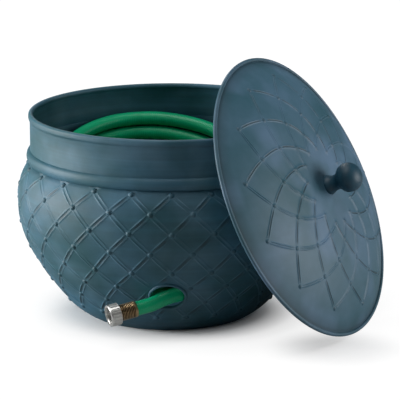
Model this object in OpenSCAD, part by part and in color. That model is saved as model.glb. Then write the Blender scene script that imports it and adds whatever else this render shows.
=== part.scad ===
// Metal hose pot with a garden hose coiled inside and its domed lid leaned against it.
// Millimetres, +Z up. The pot's axis is the Z axis and its base stands on Z = 0.
// The hose outlet faces -Y, and the hose's end comes out of it towards -X.

/* [Bowl] */
// Thickness of the pot's steel sheet
sheet = 1.2; // [1:0.1:1.6]
// Outer radius of the foot, where the bowl meets the ground
foot_r = 128.6; // [124:0.2:133]
// Outer radius of the flank, just above the rounded foot
flank_r = 164.5; // [161:0.5:168]
// Height of the flank
flank_z = 30; // [26:1:34]
// Slope of the flank, in degrees above the ground
flank_slope = 57; // [52:1:62]
// Outer radius of the belly at its widest
belly_r = 235; // [232:0.5:240]
// Height of the widest place
belly_z = 180; // [174:1:186]
// How far the neck, where the collar sits on the bowl, stands out past the collar's band
neck_out = 1; // [-1:0.25:2]
// Height of the neck
neck_z = 238; // [232:1:246]
// Height by which the bowl's upper edge laps inside the collar
lap_h = 24; // [21:1:30]

/* [Collar] */
// Outer radius of the collar's straight band
collar_r = 215; // [211:0.5:218]
// Height of the crease between the bead and the band, above the neck
bead_h = 19; // [17:0.5:21]
// How far the bead bulges past the band
bead_out = 5.5; // [4:0.5:8]
// Height of the rolled rim's top above the ground
rim_top = 314.8; // [300:0.2:330]
// Radius of the rolled rim's bar
rim_bar_r = 3.9; // [3:0.1:5]

/* [Embossing] */
// Studs in each row round the bowl
bowl_studs = 23; // [19:1:27]
// Direction of the first stud of the top row, in degrees from +X
first_stud = -120.6; // [-128:0.2:-113]
// Half the width of a bar between studs on the bowl
bar_half = 3.8; // [2.8:0.1:4.6]
// How far a bar stands proud of the bowl
bar_proud = 1.4; // [0.8:0.1:1.8]
// Distance from a stud's middle to the end of a bar
bar_gap = 7.5; // [6.5:0.25:9]
// Radius of a stud
stud_r = 4.6; // [3.6:0.1:5.4]
// How far a stud stands proud
stud_proud = 2; // [1.2:0.1:2.6]
// Studs in each ring round the lid
lid_studs = 13; // [11:1:15]
// Direction of the first stud of the lid's inner ring, in degrees
lid_first_stud = 108.15; // [100:0.5:116]
// Half the width of a bar between studs on the lid
lid_bar_half = 3; // [2.4:0.1:3.6]
// How far the lid's bars stand proud
lid_bar_proud = 1.2; // [0.8:0.1:1.6]
// Radius round the outlet's middle that is left plain
plain_r = 33; // [31:0.5:38]

/* [Outlet] */
// Clear radius of the hose outlet
outlet_r = 25; // [24.5:0.25:26]
// Width of the lip round the outlet
lip_w = 4.5; // [3.5:0.25:5.5]
// Height of the outlet's centre
outlet_z = 71; // [69:0.5:73]
// Direction that the outlet faces, in degrees from +X
outlet_az = -91; // [-93:0.5:-89]

/* [Base] */
// Number of drain holes in the base
drains = 5; // [3:1:8]
// Radius of a drain hole
drain_r = 5; // [3:0.5:8]
// Radius of the circle that the drain holes lie on
drain_ring_r = 80; // [50:1:95]
// Height of the base pan's upturned rim
pan_h = 13; // [8:1:18]

/* [Lid] */
// Thickness of the lid's sheet
lid_sheet = 1; // [0.8:0.1:1.4]
// Radius of the lid to the middle of its rolled edge
lid_r = 220; // [218:0.5:224]
// Radius of the rolled edge's bar
lid_bar_r = 3; // [2.4:0.1:3.6]
// Rise of the dome from its edge to its crown
dome_h = 49; // [46:0.5:52]
// How flat the crown is: a higher power keeps the middle flatter
dome_power = 3; // [2.4:0.1:3.4]
// Rise of the lid's face above the ground as it leans: the tilt of its axis
lean = 25.6; // [24:0.2:27]
// Direction that the leaning lid faces, in degrees from +X
lean_az = -27.9; // [-32:0.1:-24]
// Sideways shift of the leaning lid
lean_shift = 8.4; // [4:0.2:12]

/* [Knob] */
// Height of the knob
knob_h = 56; // [50:1:64]
// Radius of the knob's head
knob_r = 22.5; // [19:0.5:26]
// Height of the knob's head
knob_head_h = 37; // [32:1:41]
// Radius of the knob's foot
knob_foot_r = 15; // [13.5:0.5:18]
// Radius of the knob's neck
knob_neck_r = 11.8; // [9:0.2:13]
// Radius of the screw that holds the knob
screw_r = 2.5; // [2:0.25:3]
// Depth that the screw reaches into the knob
screw_grip = 20; // [14:1:26]

/* [Hose] */
// Radius of the hose
hose_r = 10.75; // [10:0.05:10.9]
// Distance between neighbouring loops and layers of the coil
coil_pitch = 22; // [21.95:0.05:22.4]
// Loops in each of the coil's four layers
layer_loops = 3.5; // [2.5:0.5:3.5]
// Height of the coil's lowest loops
coil_z = 66; // [65:0.5:67]
// Room between the coil's widest loop and the bowl
coil_room = 4; // [2:0.5:6]

/* [Couplings] */
// Outer radius of the swivel nut
nut_r = 16.5; // [15.5:0.25:18]
// Length of the swivel nut
nut_len = 16.5; // [14:0.5:20]
// Radius of the threaded hole in the nut
nut_hole_r = 13.2; // [13:0.1:13.6]
// Radius of the waterway
way_r = 6.5; // [5:0.25:7]
// Length of a ribbed ferrule
ferrule_len = 25; // [20:0.5:30]
// Ribs round a ferrule
ferrule_ribs = 7; // [5:1:9]
// Radius of the male coupling's thread
male_r = 13.2; // [12.8:0.1:13.4]
// Length of the male coupling's thread
male_len = 14; // [10:0.5:16]

/* [Hidden] */
$fn = 96;

seam = 0.2;         // clearance between two sheets that are seamed together
seat = 0.3;         // clearance between pieces that rest on each other
play = 0.3;         // running clearance round the swivel
fine = 0.01;        // overlap of cuts past a face
lid_room = 0.5;     // room over the pot's rim under the middle of the lid; the curved sheet comes nearer
up = [0, 0, 1];

// ---- points and curves ----

function bezier(p, n) = [for (i = [0:n]) let (t = i / n, s = 1 - t)
    s * s * s * p[0] + 3 * s * s * t * p[1] + 3 * s * t * t * p[2] + t * t * t * p[3]];
function bow(centre, r, from, to, n) = [for (i = [0:n]) let (a = from + (to - from) * i / n)
    centre + r * [cos(a), sin(a)]];
function unit(v) = v / norm(v);
function heading(degrees) = [cos(degrees), sin(degrees)];
function reversed(list) = [for (i = [len(list) - 1:-1:0]) list[i]];
function without_first(list) = [for (i = [1:len(list) - 1]) list[i]];
function swapped(list) = [for (p = list) [p[1], p[0]]];
function every_other(list) = [for (i = [0:2:len(list) - 1]) list[i]];

// The outline p moved by d towards its left, which is inside for an outline drawn upwards
function moved_in(p, d) = [for (i = [0:len(p) - 1])
    let (t = unit(p[min(i + 1, len(p) - 1)] - p[max(i - 1, 0)])) p[i] + d * [-t[1], t[0]]];

// ---- the pot's outline, outside, from the foot up ----

neck_r = collar_r + neck_out;
foot_curve = bezier([[foot_r, 0], [foot_r, 0] + 4 * heading(28),
    [flank_r, flank_z] - 18 * heading(flank_slope), [flank_r, flank_z]], 8);
flank_curve = bezier([[flank_r, flank_z], [flank_r, flank_z] + 22 * heading(flank_slope),
    [belly_r, belly_z - 75], [belly_r, belly_z]], 14);
shoulder_curve = bezier([[belly_r, belly_z], [belly_r, belly_z + 38],
    [neck_r, neck_z] - 4 * heading(110), [neck_r, neck_z]], 10);
belly = concat(foot_curve, without_first(flank_curve), without_first(shoulder_curve));
lap_r = collar_r - sheet - seam;
bowl_outside = concat(belly, [[lap_r, neck_z + 5], [lap_r, neck_z + lap_h]]);

// Outer radius of the bowl at a height
belly_table = swapped(belly);
function belly_radius(z) = lookup(z, belly_table);
// Slope of the bowl's outside at a height, in degrees out of the vertical
function belly_lean(z) = atan2(belly_radius(z + 6) - belly_radius(z - 6), 12);

// ---- places ----

outlet_tilt = belly_lean(outlet_z);
rim_z = rim_top - rim_bar_r;
rim_r = collar_r - 1.8;
crease_z = neck_z + bead_h;

module at_outlet() {
    rotate([0, 0, outlet_az])
    translate([belly_radius(outlet_z), 0, outlet_z])
    rotate([0, 90 + outlet_tilt, 0])
    children();
}

// ---- the lid's dome: height above the plane of its rolled edge ----

dome_r = lid_r - 4;
dome_low = 1.5;
function dome(r) = dome_low + dome_h * (1 - pow(min(r, dome_r) / dome_r, dome_power));

// The lid leans with its edge on the ground and its hollow over the pot's rim.
// reach is the distance of the lid's centre from the pot's axis, along the way the lid faces.
lid_z = lid_r * cos(lean) + lid_bar_r;
function touch_radius(reach) = norm([lean_shift, cos(lean) * (rim_z - lid_z) - sin(lean) * (rim_r - reach)]);
function reach_for(room) = (rim_r * cos(lean) + rim_z * sin(lean) + rim_bar_r - room - lid_z * sin(lean))
    / cos(lean);
function settled(reach, rounds) = rounds == 0 ? reach
    : settled(reach_for(dome(touch_radius(reach)) - lid_sheet - lid_room), rounds - 1);
lid_reach = settled(rim_r, 6);

module on_lid() {
    rotate([0, 0, lean_az])
    translate([lid_reach, lean_shift, lid_z])
    rotate([0, 90 - lean, 0])
    rotate([0, 0, 90])
    children();
}

// ---- hose routes ----

coil_r = belly_radius(coil_z) - (sheet + hose_r) / cos(belly_lean(coil_z)) - coil_room;
coil_from = -30;            // direction of the coil's two ends, in degrees from +X
coil_layers = 4;
coil_turns = coil_layers * layer_loops;
rings = 24;                 // rings of points in one loop

function layer_of(t) = floor(min(t, coil_turns - 0.001) / layer_loops);
// Radius of the coil after t loops: in, out, in and out again at one rate
function loop_radius(t) = let (into = t - layer_of(t) * layer_loops)
    coil_r - coil_pitch * (layer_of(t) % 2 == 0 ? into : layer_loops - into);
// Height of the coil after t loops: each climb takes the half loop where the spiral turns back
function loop_height(t) = let (turn = round(t / layer_loops), past = t - turn * layer_loops)
    turn > 0 && turn < coil_layers && abs(past) < 0.25
        ? coil_z + coil_pitch * (turn - 0.5 + 2 * past)
        : coil_z + coil_pitch * layer_of(t);
function loop_point(t) = concat(loop_radius(t) * heading(coil_from + 360 * t), loop_height(t));
function coil_heading(t) = concat(heading(coil_from + 360 * t + 90), 0);

coil_start = loop_point(0) - 2 * hose_r * coil_heading(0);
coil_end = loop_point(coil_turns) + 2 * hose_r * coil_heading(coil_turns);
coil_points = concat([coil_start],
    [for (i = [0:rings * coil_turns]) loop_point(i / rings)], [coil_end]);

// Least gap between loops of the coil, measured between its ring centres
coil_gap = min([for (i = [0:len(coil_points) - 1 - rings / 2]) for (j = [i + rings / 2:len(coil_points) - 1])
    norm(coil_points[i] - coil_points[j])]) - 2 * hose_r;
echo(str("least gap of the coil to itself, mm: ", coil_gap));
coil_length = sum_of([for (i = [1:len(coil_points) - 1]) norm(coil_points[i] - coil_points[i - 1])]);
function sum_of(list) = list * [for (i = list) 1];
echo(str("length of hose in the coil, mm: ", coil_length));

// A smooth route through p, with n steps from each point to the next
function at_or_past(p, i) = i < 0 ? 2 * p[0] - p[1] : i >= len(p) ? 2 * p[len(p) - 1] - p[len(p) - 2] : p[i];
function smooth(p, n) = concat([for (i = [0:len(p) - 2]) for (k = [0:n - 1])
    let (t = k / n, a = at_or_past(p, i - 1), b = p[i], c = p[i + 1], d = at_or_past(p, i + 2))
    0.5 * (2 * b + (c - a) * t + (2 * a - 5 * b + 4 * c - d) * t * t + (3 * b - a - 3 * c + d) * t * t * t)],
    [p[len(p) - 1]]);

// ---- the hose's two ends ----

nut_face = [-91, -231.3, 52];       // middle of the nut's open face
nut_heading = unit([-0.922, -0.354, -0.158]);
male_end = [64, -104.5, 183.5];     // middle of the hose's end inside the pot
male_heading = unit([1, -0.03, 0.02]);
end_wall = 2;                       // thickness of the couplings' end walls
stem_len = nut_len + 2;             // from the nut's face to the ferrule
ferrule_grip = ferrule_len - end_wall;

// Stands a child at p with its +Z along the heading d
module facing(p, d) {
    translate(p)
    rotate([0, acos(d[2]), atan2(d[1], d[0])])
    children();
}

// Beside the coil's widest loop: t loops before its start, a pitch further out than that loop
function beside_coil(t, z) = concat((coil_r + coil_pitch * t) * heading(coil_from - 360 * t), z);

// Route of the hose from the nut through the outlet to the coil
lead_route = concat([[-28.8, -208.6, 63], [-7.7, -196.2, 69.2], [7.9, -184.1, 70.6]],
    [for (p = [[0.141, 5.5], [0.112, 6], [0.082, 1.3], [0.049, 0.1]]) beside_coil(p[0], coil_z + p[1])]);
lead_start = [for (d = [0, 0.5, 1]) nut_face - (stem_len + end_wall + d * ferrule_grip) * nut_heading];
joint_len = 3;                      // straight length of hose where the route meets the coil
lead_points = concat(smooth(concat(lead_start, lead_route, [coil_start - joint_len * coil_heading(0)]), 2),
    [coil_start]);

// Two loose loops lie tilted, on the coil in front and against the far wall behind.
// t counts the loops from the direction in which the coil ends.
loose_middle = [-15, 48.5, 183.7];
loose_r = 150;
loose_slope = [-0.046, 0.301];      // rise of the loops' plane along X and Y
loose_rise = 23.3;                  // rise from one loose loop to the next
function loose_point(t) = let (out = loose_r * heading(coil_from + 360 * t))
    loose_middle + concat(out, out * loose_slope + loose_rise * t);

// Route of the loose hose: up from the coil to the far wall, then round in twelfths of a loop
loops_route = concat([[173, -30, 139], [171, 25, 158], [151, 78, 179], [115, 130, 202], [60, 179, 223]],
    [for (i = [4:22]) loose_point(i / 12)]);
loops_end = [for (d = [1, 0.5, 0]) male_end - d * ferrule_grip * male_heading];
loops_points = concat([coil_end],
    smooth(concat([coil_end + joint_len * coil_heading(coil_turns)], loops_route, loops_end), 2));

// ---- shared shapes ----

module revolved(outline) {
    rotate_extrude()
    polygon(outline);
}

// Tube of radius r along the points p, as one mesh with flat ends
module tube(p, r, sides) {
    last = len(p) - 1;
    corners = [for (i = [0:last])
        let (t = unit(p[min(i + 1, last)] - p[max(i - 1, 0)]), s = unit(cross(t, up)), u = cross(s, t))
        for (j = [0:sides - 1]) p[i] + r * (cos(360 * j / sides) * s + sin(360 * j / sides) * u)];
    skin = [for (i = [0:last - 1]) for (j = [0:sides - 1])
        let (a = i * sides + j, b = i * sides + (j + 1) % sides)
        each [[a, b, b + sides], [a, b + sides, a + sides]]];
    ends = [for (j = [1:sides - 2])
        each [[0, j + 1, j], [last * sides, last * sides + j, last * sides + j + 1]]];
    polyhedron(corners, concat(skin, ends));
}

// Ribbed sleeve over the hose's end, with its closed end at z = 0
module ferrule() {
    rib = ferrule_len / ferrule_ribs;
    thick = 1.75;
    taper = 0.4;
    groove = 0.5;
    function rib_r(i) = hose_r + thick - taper * i / ferrule_ribs;
    ribs = [for (i = [0:ferrule_ribs - 1])
        each [[rib_r(i) - groove, (i + 0.02) * rib], [rib_r(i), (i + 0.3) * rib],
            [rib_r(i), (i + 0.7) * rib], [rib_r(i) - groove, (i + 0.98) * rib]]];
    color("#6a5546")
    revolved(concat([[way_r, 0], [rib_r(0) - groove, 0]], ribs, [[hose_r + seat, ferrule_len],
        [hose_r + seat, end_wall], [way_r, end_wall]]));
}

pot_blue = "#4d6470";
hose_green = "#0e7a4a";

// ---- embossed sheet: rows of studs joined by diagonal bars ----
//
// The sheet's skin is laid out in studs round (u) and rows down (v); every other row is half a stud along.
// spot(u, v, h) is the point of the skin there, h proud of it. sizes(v) is the step to the next stud and to
// the next row, in mm. Each stud has a tip and four corners, each bar two ridge points and four corners, and
// each panel between four studs a middle. The plain edges above the first row and below the last are hems;
// rings are the outline's points that lead from the lower hem round the sheet to the upper one.

function shift(row) = row % 2 / 2;

module embossed(studs, first, rows, columns, spot, sizes, stud, bar, bare, rings) {
    round = studs * columns;
    last = rows - 1;
    corners = [[0, 0], [1, 0], [0, -1], [-1, 0], [0, 1]];       // tip, right, upper, left, lower

    tips = [for (j = [0:last]) for (k = [0:studs - 1]) for (c = [0:4])
        let (u = shift(j) + k, step = sizes(j), proud = bare(u, j) || c > 0 ? 0 : stud[1])
        spot(u + corners[c][0] * stud[0] / step[0], j + corners[c][1] * stud[0] / step[1], proud)];

    // From a stud to the next row, to the right (s = 0) and to the left (s = 1): the ridge's two ends,
    // then the two corners on the right-hand side of the way down, and those on its left-hand side
    bars = [for (j = [0:last - 1]) for (k = [0:studs - 1]) for (s = [0, 1])
        let (u = shift(j) + k, step = sizes(j + 0.5), side = 1 - 2 * s,
            way = [side * step[0] / 2, step[1]], length = norm(way), along = way / length,
            over = [along[1], -along[0]] * bar[0],
            proud = bare(u + side / 4, j + 0.5) ? 0 : bar[1])
        for (c = [[bar[2] + bar[0], 0, proud], [length - bar[2] - bar[0], 0, proud], [bar[2], 1, 0],
            [length - bar[2], 1, 0], [bar[2], -1, 0], [length - bar[2], -1, 0]])
        let (p = c[0] * along + c[1] * over)
        spot(u + p[0] / step[0], j + p[1] / step[1], c[2])];

    middles = [for (j = [0:last]) for (k = [0:studs - 1]) spot(shift(j) + k + 0.5, j, 0)];
    edges = [for (v = [-1, rows]) for (m = [0:round - 1]) spot(m / columns, v, 0)];
    closing = [for (p = rings) for (m = [0:round - 1])
        concat(p[0] * heading(first + 360 * m / round), p[1])];

    function tip(j, k, c) = (j * studs + (k + studs) % studs) * 5 + c;
    function rib(j, k, s, c) = len(tips) + ((j * studs + (k + studs) % studs) * 2 + s) * 6 + c;
    function middle(j, k) = len(tips) + len(bars) + j * studs + k;
    function hem(n, m) = len(tips) + len(bars) + len(middles) + n * round + m % round;
    // Number of stud k's own place on a hem
    function under(j, k) = columns * (k + shift(j));

    stud_faces = [for (j = [0:last]) for (k = [0:studs - 1]) for (c = [[2, 1], [1, 4], [4, 3], [3, 2]])
        [tip(j, k, 0), tip(j, k, c[0]), tip(j, k, c[1])]];
    bar_faces = [for (j = [0:last - 1]) for (k = [0:studs - 1]) for (s = [0, 1])
        for (f = [[0, 2, 3], [0, 3, 1], [1, 5, 4], [1, 4, 0], [4, 2, 0], [3, 5, 1]])
        [for (c = f) rib(j, k, s, c)]];
    // Between a stud and the bars' ends around it
    joint_faces = [for (j = [0:last - 1]) for (k = [0:studs - 1])
        let (right = k + j % 2, left = k + j % 2 - 1)
        for (q = [[tip(j, k, 1), rib(j, k, 0, 2), rib(j, k, 0, 4), tip(j, k, 4)],
            [tip(j, k, 4), rib(j, k, 1, 2), rib(j, k, 1, 4), tip(j, k, 3)],
            [tip(j + 1, right, 3), rib(j, k, 0, 5), rib(j, k, 0, 3), tip(j + 1, right, 2)],
            [tip(j + 1, left, 2), rib(j, k, 1, 5), rib(j, k, 1, 3), tip(j + 1, left, 1)]])
        each [[q[0], q[1], q[2]], [q[0], q[2], q[3]]]];
    function above(j, k) = let (t = k + j % 2) j == 0
        ? concat([tip(j, k, 2)], [for (m = [0:columns]) hem(0, under(j, k) + m)], [tip(j, k + 1, 2)])
        : [rib(j - 1, t, 1, 3), rib(j - 1, t, 1, 2), tip(j - 1, t, 4), rib(j - 1, t, 0, 4),
            rib(j - 1, t, 0, 5)];
    function below(j, k) = let (b = k + j % 2) j == last
        ? concat([tip(j, k + 1, 4)], [for (m = [columns:-1:0]) hem(1, under(j, k) + m)], [tip(j, k, 4)])
        : [rib(j, k + 1, 1, 4), rib(j, k + 1, 1, 5), tip(j + 1, b, 2), rib(j, k, 0, 3), rib(j, k, 0, 2)];
    panel_faces = [for (j = [0:last]) for (k = [0:studs - 1])
        let (edge = concat([tip(j, k, 1)], above(j, k), [tip(j, k + 1, 3)], below(j, k)))
        for (i = [0:len(edge) - 1]) [middle(j, k), edge[i], edge[(i + 1) % len(edge)]]];

    // The hem below the last row, then every ring, then the hem above the first row
    first_ring = hem(1, 0) + round;
    order = concat([hem(1, 0)], [for (i = [0:len(rings) - 1]) first_ring + i * round], [hem(0, 0)]);
    ring_faces = [for (i = [1:len(order) - 1]) for (m = [0:round - 1])
        let (a = order[i - 1], b = order[i], n = (m + 1) % round)
        each [[a + m, a + n, b + n], [a + m, b + n, b + m]]];

    polyhedron(concat(tips, bars, middles, edges, closing),
        concat(stud_faces, bar_faces, joint_faces, panel_faces, ring_faces));
}

// ---- pot ----

// Heights of the rows of studs, from the top
row_z = [for (share = [0.977, 0.866, 0.739, 0.609, 0.471, 0.361, 0.244, 0.126]) share * neck_z];
hem_z = row_z[len(row_z) - 1] - 8;
bowl_columns = 2;                   // corners of the bowl's plain edges per stud

// Value of a table of rows at v, run on past its first and last row, with the hems half a row and more away
function on_rows(v, rows, upper, lower) = let (last = len(rows) - 1)
    v < -0.5 ? upper : v > last + 0.5 ? lower
    : v < 0 ? rows[0] + v * (rows[1] - rows[0])
    : v > last ? rows[last] + (v - last) * (rows[last] - rows[last - 1])
    : lookup(v, [for (i = [0:last]) [i, rows[i]]]);
function step_down(v, rows) = let (i = min(floor(v), len(rows) - 2)) abs(rows[i] - rows[i + 1]);

function bowl_z(v) = on_rows(v, row_z, neck_z, hem_z);
function bowl_spot(u, v, h) = let (z = bowl_z(v), tilt = belly_lean(z), r = belly_radius(z) + h * cos(tilt))
    concat(r * heading(first_stud + 360 / bowl_studs * u), z - h * sin(tilt));
function bowl_steps(v) = let (z = bowl_z(v))
    [2 * PI * belly_radius(z) / bowl_studs, step_down(v, row_z) / cos(belly_lean(z))];
outlet_spot = concat(belly_radius(outlet_z) * heading(outlet_az), outlet_z);
function by_outlet(u, v) = norm(bowl_spot(u, v, 0) - outlet_spot) < plain_r + bar_gap;

module bowl() {
    foot = [for (p = reversed(foot_curve)) if (p[1] < hem_z - 2) p];
    // The inside's corners stand out as far as its flat faces cut in, where the base pan lies in it
    spread = 1 / cos(180 / (bowl_studs * bowl_columns));
    inside = [for (p = every_other(moved_in(bowl_outside, sheet)))
        p[1] < pan_h + 4 ? [p[0] * spread, p[1]] : p];
    color(pot_blue)
    difference() {
        embossed(bowl_studs, first_stud, len(row_z), bowl_columns,
            function(u, v, h) bowl_spot(u, v, h), function(v) bowl_steps(v),
            [stud_r, stud_proud], [bar_half, bar_proud, bar_gap], function(u, v) by_outlet(u, v),
            concat(foot, inside, [[lap_r, neck_z + lap_h], [lap_r, neck_z + 5]]));
        at_outlet()
        translate([0, 0, -30])
        cylinder(r = outlet_r + lip_w + seam, h = 60);
    }
}

module collar() {
    bead = bezier([[neck_r + seam + sheet, neck_z + 0.5], [collar_r + 1.33 * bead_out, neck_z + 5],
        [collar_r + 1.24 * bead_out, crease_z - 1.5], [collar_r, crease_z]], 12);
    outside = concat(bead, [[collar_r, rim_z - rim_bar_r + 1]]);
    curl = bezier([[collar_r + 0.8, rim_z - 6.6], [collar_r + 2.6, rim_z - 5],
        [rim_r + rim_bar_r, rim_z - 2.4], [rim_r + rim_bar_r, rim_z]], 6);
    color(pot_blue) {
        revolved(concat(outside, reversed(moved_in(outside, sheet))));
        revolved(concat([[collar_r - sheet, rim_z - 6.6]], curl,
            bow([rim_r, rim_z], rim_bar_r, 10, 240, 16)));
    }
}

module base_pan() {
    rim = [for (p = foot_curve) if (p[1] < pan_h) p];
    seated = sheet + seam;
    color(pot_blue)
    difference() {
        revolved(concat([[0, 0], [foot_r - 3 * sheet, 0]], moved_in(rim, seated),
            reversed(moved_in(rim, seated + sheet)), [[foot_r - 4 * sheet, sheet], [0, sheet]]));
        for (i = [0:drains - 1])
            rotate([0, 0, 360 * i / drains])
            translate([drain_ring_r, 0, -1])
            cylinder(r = drain_r, h = sheet + 2);
    }
}

module outlet_lip() {
    half = lip_w / 2;
    sink = (outlet_r + lip_w) * (outlet_r + lip_w) * cos(outlet_tilt) / (2 * belly_radius(outlet_z));
    color(pot_blue)
    at_outlet()
    revolved(concat([[outlet_r, -sheet - sink]], [[outlet_r + lip_w, -sheet - sink]],
        bow([outlet_r + half, -0.5], half, 0, 180, 12)));
}

// ---- lid ----

// Radii of the rings of studs, from the middle
ring_r = [for (share = [0.273, 0.382, 0.532, 0.686, 0.85]) share * lid_r];
lid_columns = 4;                    // corners of the lid's plain edges per stud
lid_hems = [ring_r[0] - 9, ring_r[len(ring_r) - 1] + 8];

function dome_slope(r) = dome_h * dome_power * pow(r, dome_power - 1) / pow(dome_r, dome_power);
function lid_ring(v) = on_rows(v, ring_r, lid_hems[0], lid_hems[1]);
function lid_spot(u, v, h) = let (r = lid_ring(v), out = h * unit([dome_slope(r), 1]))
    concat((r + out[0]) * heading(lid_first_stud + 360 / lid_studs * u), dome(r) + out[1]);
function lid_steps(v) = let (r = lid_ring(v))
    [2 * PI * r / lid_studs, step_down(v, ring_r) * norm([1, dome_slope(r)])];

module lid_disc() {
    hole_r = screw_r + play;
    brim = [for (i = [1:3]) let (r = lid_hems[1] + (dome_r - lid_hems[1]) * i / 3) [r, dome(r)]];
    steps = 14;
    under = [for (i = [steps:-1:0]) let (r = hole_r + (dome_r - hole_r) * i / steps)
        [r, dome(r) - lid_sheet]];
    middle = [for (r = [hole_r, knob_foot_r, 2 * knob_foot_r]) [r, dome(r)]];
    color(pot_blue)
    on_lid() {
        embossed(lid_studs, lid_first_stud, len(ring_r), lid_columns,
            function(u, v, h) lid_spot(u, v, h), function(v) lid_steps(v),
            [stud_r, stud_proud], [lid_bar_half, lid_bar_proud, bar_gap], function(u, v) false,
            concat(brim, [[lid_r, dome_low], [lid_r, dome_low - lid_sheet]], under, middle));
        rotate_extrude()
        translate([lid_r, 0])
        circle(r = lid_bar_r, $fn = 32);
    }
}

module lid_knob() {
    crown = dome(0);
    neck_at = 13;
    foot = bezier([[knob_foot_r, 2], [knob_foot_r - 0.5, 6], [knob_neck_r, 7], [knob_neck_r, neck_at]], 6);
    under = bezier([[knob_neck_r, neck_at + 2], [knob_neck_r, knob_head_h - 14],
        [knob_r, knob_head_h - 14], [knob_r, knob_head_h]], 8);
    over = bezier([[knob_r, knob_head_h], [knob_r, knob_head_h + 11],
        [knob_r * 0.6, knob_h], [0, knob_h]], 10);
    color("#1f333d")
    on_lid()
    translate([0, 0, crown])
    difference() {
        revolved(concat([[0, 0], [knob_foot_r, 0]], foot, under, without_first(over)));
        translate([0, 0, -1])
        cylinder(r = screw_r + seam / 2, h = screw_grip + 3);
    }
}

washer_t = 1.2;

module knob_washer() {
    color("silver")
    on_lid()
    translate([0, 0, dome(0) - lid_sheet - washer_t - 2 * fine])
    difference() {
        cylinder(r = 3.4 * screw_r, h = washer_t);
        translate([0, 0, -1])
        cylinder(r = screw_r + play, h = washer_t + 2);
    }
}

module knob_screw() {
    head_h = 2.4;
    under = dome(0) - lid_sheet - washer_t - 2 * fine;
    color("silver")
    on_lid() {
        translate([0, 0, under - head_h])
        cylinder(r = 2 * screw_r, h = head_h);
        translate([0, 0, under - fine])
        cylinder(r = screw_r, h = lid_sheet + washer_t + screw_grip + 3 * fine);
    }
}

// ---- hose ----

module hose_coil() {
    color(hose_green)
    tube(coil_points, hose_r, 6);
}

module hose_lead() {
    color(hose_green)
    tube(lead_points, hose_r, 12);
}

module hose_loops() {
    color(hose_green)
    tube(loops_points, hose_r, 10);
}

// ---- couplings ----

module on_nut() {
    facing(nut_face, nut_heading)
    rotate([180, 0, 0])
    children();
}

stem_r = 9.5;                       // radius of the stem that the nut turns on
flange_t = 2.3;                     // thickness of the stem's flange
washer_len = 3;                     // thickness of the rubber washer
flange_z = nut_len - end_wall - play - flange_t;
thread_len = flange_z - washer_len - play;      // threaded part of the nut's hole, in front of the washer

module swivel_nut() {
    edge = 0.8;
    relief = 0.4;
    flutes = 24;
    color("#d9dadb")
    on_nut()
    difference() {
        revolved([[0, 0], [nut_r - edge, 0], [nut_r, edge], [nut_r, nut_len - edge], [nut_r - edge, nut_len],
            [0, nut_len]]);
        translate([0, 0, -1])
        cylinder(r = nut_hole_r, h = thread_len + 1 + fine);
        translate([0, 0, thread_len])
        cylinder(r = nut_hole_r + relief, h = nut_len - end_wall - thread_len);
        translate([0, 0, -1])
        cylinder(r = stem_r + play, h = nut_len + 2);
        for (i = [0:flutes - 1])
            rotate([0, 0, 360 * i / flutes])
            translate([nut_r + 0.4, 0, 3])
            cylinder(r = 1.2, h = nut_len, $fn = 16);
    }
}

module swivel_stem() {
    color("#b98d4c")
    on_nut()
    difference() {
        union() {
            translate([0, 0, flange_z])
            cylinder(r = nut_hole_r - play - 0.3, h = flange_t);
            translate([0, 0, flange_z + fine])
            cylinder(r = stem_r, h = stem_len - flange_z - fine);
        }
        translate([0, 0, -1])
        cylinder(r = way_r, h = stem_len + 2);
    }
}

module hose_washer() {
    color("#22262a")
    on_nut()
    translate([0, 0, flange_z - washer_len])
    difference() {
        cylinder(r = nut_hole_r - play, h = washer_len);
        translate([0, 0, -1])
        cylinder(r = way_r + 0.5, h = washer_len + 2);
    }
}

module ferrule_female() {
    on_nut()
    translate([0, 0, stem_len])
    ferrule();
}

module on_male() {
    facing(male_end + end_wall * male_heading, male_heading)
    children();
}

module ferrule_male() {
    on_male()
    rotate([180, 0, 0])
    ferrule();
}

module male_coupling() {
    grip_len = 9;
    grip_r = male_r + 2;
    lead_in = 1;
    color("#d9dadb")
    on_male()
    revolved([[way_r, 0], [grip_r - lead_in, 0], [grip_r, lead_in], [grip_r, grip_len - lead_in],
        [grip_r - lead_in, grip_len], [male_r, grip_len], [male_r, grip_len + male_len - lead_in],
        [male_r - lead_in, grip_len + male_len], [way_r, grip_len + male_len]]);
}

bowl();
collar();
base_pan();
outlet_lip();
lid_disc();
lid_knob();
knob_washer();
knob_screw();
hose_coil();
hose_lead();
hose_loops();
ferrule_female();
swivel_stem();
hose_washer();
swivel_nut();
ferrule_male();
male_coupling();
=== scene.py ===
import bmesh
import bpy
import numpy as np
from math import acos, atan2, cos, hypot, pi, radians, sin
from mathutils import Matrix, Vector
from mathutils.kdtree import KDTree


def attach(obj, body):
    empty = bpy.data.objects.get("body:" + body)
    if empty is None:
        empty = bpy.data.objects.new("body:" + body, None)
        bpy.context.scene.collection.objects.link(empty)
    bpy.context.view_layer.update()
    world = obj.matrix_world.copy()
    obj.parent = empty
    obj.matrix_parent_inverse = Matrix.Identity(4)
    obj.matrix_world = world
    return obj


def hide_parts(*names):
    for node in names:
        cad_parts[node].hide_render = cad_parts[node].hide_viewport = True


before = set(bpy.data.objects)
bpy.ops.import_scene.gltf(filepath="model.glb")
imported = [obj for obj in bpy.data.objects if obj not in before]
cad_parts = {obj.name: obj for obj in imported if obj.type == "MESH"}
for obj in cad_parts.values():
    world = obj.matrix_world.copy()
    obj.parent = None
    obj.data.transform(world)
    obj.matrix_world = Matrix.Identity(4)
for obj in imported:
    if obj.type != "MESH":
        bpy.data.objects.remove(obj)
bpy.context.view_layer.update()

mm = 0.001
scene = bpy.context.scene
scene.view_settings.view_transform = "Standard"


# the camera stands where the photograph was taken from

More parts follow.
